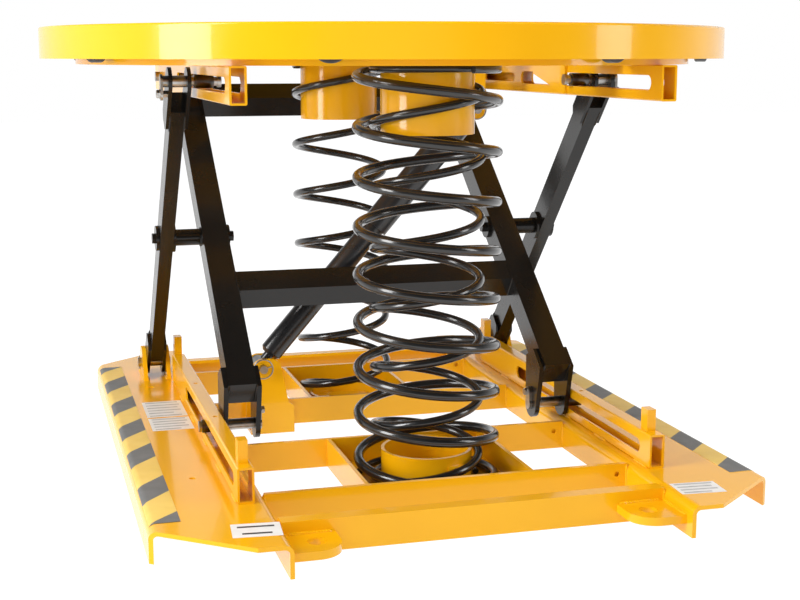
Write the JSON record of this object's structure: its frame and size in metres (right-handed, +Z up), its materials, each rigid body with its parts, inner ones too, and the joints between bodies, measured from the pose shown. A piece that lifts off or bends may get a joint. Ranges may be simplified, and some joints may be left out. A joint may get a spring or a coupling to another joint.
{
  "type": "scissor lift table",
  "caption": "Low scissor lift table raised by coil springs, with a rotating ring on top, a damper, slotted rails for the leg rollers and fork pockets along the base.",
  "frame": {"origin": "On the floor, in the middle of the base's rectangle.", "axes": "+X runs across the two fork pockets, from the damper's low end to its high end. +Y runs from the rails' open ends to the fixed leg pivots. +Z is up."},
  "size_m": [1.1098, 1.234, 0.705],
  "materials": {
    "yellow_paint": "glossy powder coat",
    "black_paint": "satin powder coat",
    "spring_steel": "glossy black enamel",
    "zinc": "zinc plated",
    "damper_black": "satin black",
    "roller_nylon": "moulded nylon"
  },
  "bodies": {
    "base": {"right_wing": "yellow_paint", "left_wing": "yellow_paint", "rear_cross_member": "yellow_paint", "front_cross_member": "yellow_paint", "front_pocket_wall": "yellow_paint", "front_middle_wall": "yellow_paint", "rear_middle_wall": "yellow_paint", "rear_pocket_wall": "yellow_paint", "pocket_bars": "yellow_paint", "lower_spring_seats": "yellow_paint", "lower_spring_cups": "yellow_paint", "right_lower_rail": "yellow_paint", "left_lower_rail": "yellow_paint", "support_posts": "yellow_paint", "lifting_lugs": "yellow_paint", "leg_foot_brackets": "yellow_paint", "leg_foot_pins": "zinc", "damper_base_bracket": "yellow_paint", "damper_base_pins": "zinc", "front_outer_spring": "spring_steel", "front_inner_spring": "spring_steel", "rear_spring": "spring_steel"},
    "outer_legs": {"right_outer_leg": "black_paint", "left_outer_leg": "black_paint", "upper_roller_pins": "zinc"},
    "inner_legs": {"right_inner_leg": "black_paint", "left_inner_leg": "black_paint", "top_cross_tube": "black_paint", "middle_cross_tube": "black_paint", "middle_pivot_bolts": "black_paint", "lower_roller_pins": "zinc", "inner_leg_top_pins": "zinc"},
    "platform": {"right_upper_rail": "yellow_paint", "left_upper_rail": "yellow_paint", "roller_stops": "yellow_paint", "deck_band": "yellow_paint", "deck_flange": "yellow_paint", "deck_beams": "yellow_paint", "upper_spring_seats": "yellow_paint", "upper_spring_cups": "yellow_paint", "damper_top_bracket": "yellow_paint", "damper_top_pin": "zinc", "ring_roller_axles": "zinc"},
    "right_upper_roller": {"right_upper_roller": "zinc"},
    "left_upper_roller": {"left_upper_roller": "zinc"},
    "right_lower_roller": {"right_lower_roller": "zinc"},
    "left_lower_roller": {"left_lower_roller": "zinc"},
    "turntable": {"turntable_top": "yellow_paint", "turntable_band": "yellow_paint"},
    "damper_upper_half": {"damper_rod": "damper_black", "damper_cover": "damper_black"},
    "damper_lower_half": {"damper_body": "damper_black"},
    "ring_roller_1": {"ring_roller_1": "roller_nylon"},
    "ring_roller_2": {"ring_roller_2": "roller_nylon"},
    "ring_roller_3": {"ring_roller_3": "roller_nylon"},
    "ring_roller_4": {"ring_roller_4": "roller_nylon"},
    "ring_roller_5": {"ring_roller_5": "roller_nylon"},
    "ring_roller_6": {"ring_roller_6": "roller_nylon"},
    "ring_roller_7": {"ring_roller_7": "roller_nylon"},
    "ring_roller_8": {"ring_roller_8": "roller_nylon"}
  },
  "joints": [
    {"name": "fold", "type": "hinge", "parent": "base", "child": "outer_legs", "pos_m": [0, 0.405, 0.072], "axis": [1, 0, 0], "range_deg": [0, 40.6], "stiffness_Nm_per_rad": 700, "springref_deg": -57.3, "deforming": ["front_outer_spring", "front_inner_spring", "rear_spring"]},
    {"name": "middle_pivot", "type": "hinge", "parent": "outer_legs", "child": "inner_legs", "pos_m": [0, 0.15021, 0.34715], "axis": [1, 0, 0], "range_deg": [-81.2, 0]},
    {"name": "top_pivot", "type": "hinge", "parent": "inner_legs", "child": "platform", "pos_m": [0, 0.405, 0.6223], "axis": [1, 0, 0], "range_deg": [0, 40.6]},
    {"name": "right_upper_roller_spin", "type": "hinge", "parent": "outer_legs", "child": "right_upper_roller", "pos_m": [0.313, -0.10458, 0.6223], "axis": [1, 0, 0], "continuous": true},
    {"name": "right_lower_roller_spin", "type": "hinge", "parent": "inner_legs", "child": "right_lower_roller", "pos_m": [0.313, -0.10458, 0.072], "axis": [1, 0, 0], "continuous": true},
    {"name": "left_upper_roller_spin", "type": "hinge", "parent": "outer_legs", "child": "left_upper_roller", "pos_m": [-0.313, -0.10458, 0.6223], "axis": [1, 0, 0], "continuous": true},
    {"name": "left_lower_roller_spin", "type": "hinge", "parent": "inner_legs", "child": "left_lower_roller", "pos_m": [-0.313, -0.10458, 0.072], "axis": [1, 0, 0], "continuous": true},
    {"name": "turntable_spin", "type": "hinge", "parent": "platform", "child": "turntable", "pos_m": [0, -0.01, 0.705], "axis": [0, 0, 1], "continuous": true},
    {"name": "ring_roller_1_spin", "type": "hinge", "parent": "platform", "child": "ring_roller_1", "pos_m": [0.48134, 0.18938, 0.6757], "axis": [0.9239, 0.3827, 0], "continuous": true},
    {"name": "ring_roller_2_spin", "type": "hinge", "parent": "platform", "child": "ring_roller_2", "pos_m": [0.19938, 0.47134, 0.6757], "axis": [0.3827, 0.9239, 0], "continuous": true},
    {"name": "ring_roller_3_spin", "type": "hinge", "parent": "platform", "child": "ring_roller_3", "pos_m": [-0.19938, 0.47134, 0.6757], "axis": [-0.3827, 0.9239, 0], "continuous": true},
    {"name": "ring_roller_4_spin", "type": "hinge", "parent": "platform", "child": "ring_roller_4", "pos_m": [-0.48134, 0.18938, 0.6757], "axis": [-0.9239, 0.3827, 0], "continuous": true},
    {"name": "ring_roller_5_spin", "type": "hinge", "parent": "platform", "child": "ring_roller_5", "pos_m": [-0.48134, -0.20938, 0.6757], "axis": [-0.9239, -0.3827, 0], "continuous": true},
    {"name": "ring_roller_6_spin", "type": "hinge", "parent": "platform", "child": "ring_roller_6", "pos_m": [-0.19938, -0.49134, 0.6757], "axis": [-0.3827, -0.9239, 0], "continuous": true},
    {"name": "ring_roller_7_spin", "type": "hinge", "parent": "platform", "child": "ring_roller_7", "pos_m": [0.19938, -0.49134, 0.6757], "axis": [0.3827, -0.9239, 0], "continuous": true},
    {"name": "ring_roller_8_spin", "type": "hinge", "parent": "platform", "child": "ring_roller_8", "pos_m": [0.48134, -0.20938, 0.6757], "axis": [0.9239, -0.3827, 0], "continuous": true},
    {"name": "damper_top_swing", "type": "hinge", "parent": "platform", "child": "damper_upper_half", "pos_m": [0.1955, 0.108, 0.567], "axis": [0, 1, 0], "range_deg": [0, 51.25]},
    {"name": "damper_stroke", "type": "slide", "parent": "damper_upper_half", "child": "damper_lower_half", "axis": [0.6576, 0, 0.7534], "range_m": [0, 0.2034]}
  ],
  "couplings": [
    {"joint": "middle_pivot", "follows": "fold", "ratio": -2},
    {"joint": "top_pivot", "follows": "fold", "ratio": 1},
    {"joint": "ring_roller_1_spin", "follows": "turntable_spin", "ratio": -21.708},
    {"joint": "ring_roller_2_spin", "follows": "turntable_spin", "ratio": -21.708},
    {"joint": "ring_roller_3_spin", "follows": "turntable_spin", "ratio": -21.708},
    {"joint": "ring_roller_4_spin", "follows": "turntable_spin", "ratio": -21.708},
    {"joint": "ring_roller_5_spin", "follows": "turntable_spin", "ratio": -21.708},
    {"joint": "ring_roller_6_spin", "follows": "turntable_spin", "ratio": -21.708},
    {"joint": "ring_roller_7_spin", "follows": "turntable_spin", "ratio": -21.708},
    {"joint": "ring_roller_8_spin", "follows": "turntable_spin", "ratio": -21.708},
    {"joint": "damper_top_swing", "follows": "fold", "ratio": 1.2622},
    {"joint": "damper_stroke", "follows": "fold", "m_per_rad": 0.2869}
  ]
}
